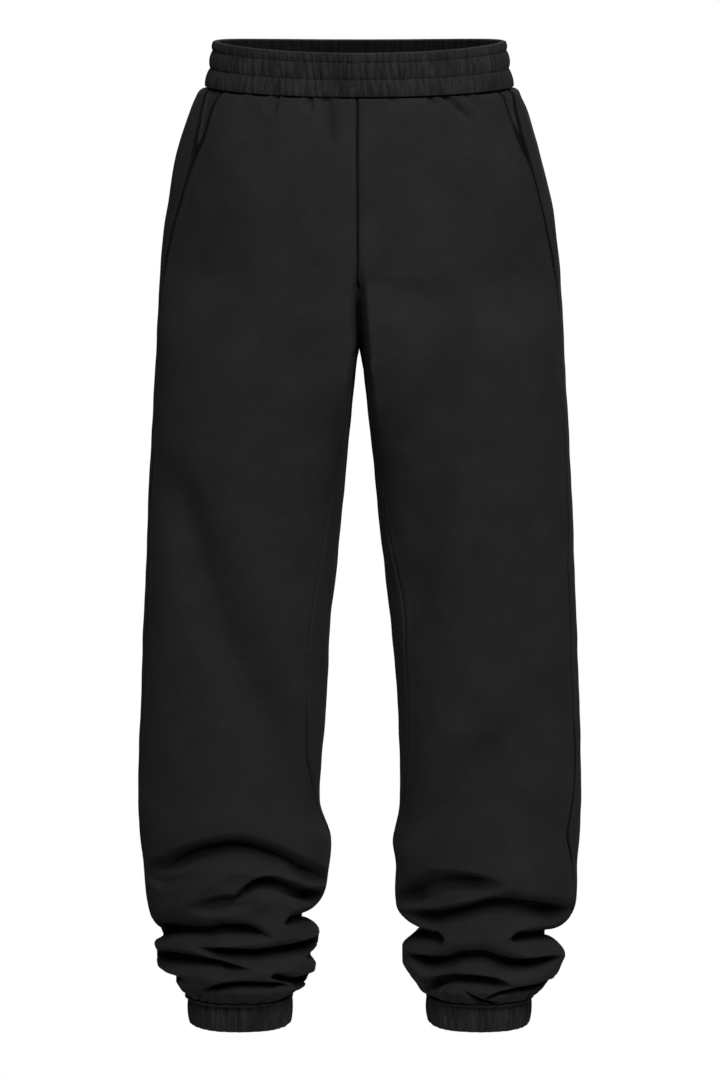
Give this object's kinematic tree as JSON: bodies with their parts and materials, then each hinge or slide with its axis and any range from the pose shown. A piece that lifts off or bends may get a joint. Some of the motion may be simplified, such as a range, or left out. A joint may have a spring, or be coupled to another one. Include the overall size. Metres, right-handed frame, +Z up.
{
  "type": "jogger sweatpants",
  "caption": "Loose fleece jogger sweatpants filled out as worn, with a gathered elastic waistband, slanted pocket mouths, folds stacked at the ankles and short gathered cuffs.",
  "frame": {"origin": "the middle of the waist opening, half way up the waistband, where the wearer's waist holds the garment", "axes": "+Z up, -Y towards the front of the garment, +X towards the wearer's left leg, which is on the right as seen from the front"},
  "size_m": [0.4612, 0.2595, 1.0225],
  "materials": {
    "fleece": "heavyweight brushed-back cotton fleece, matt charcoal black",
    "rib_fleece": "the same cloth doubled over elastic and gathered, matt charcoal black"
  },
  "bodies": {
    "root": {"waistband": "rib_fleece", "front_left": "fleece", "front_right": "fleece", "back_left": "fleece", "back_right": "fleece", "pocket_facing_left": "fleece", "pocket_facing_right": "fleece", "cuff_left": "rib_fleece", "cuff_right": "rib_fleece"}
  },
  "joints": []
}
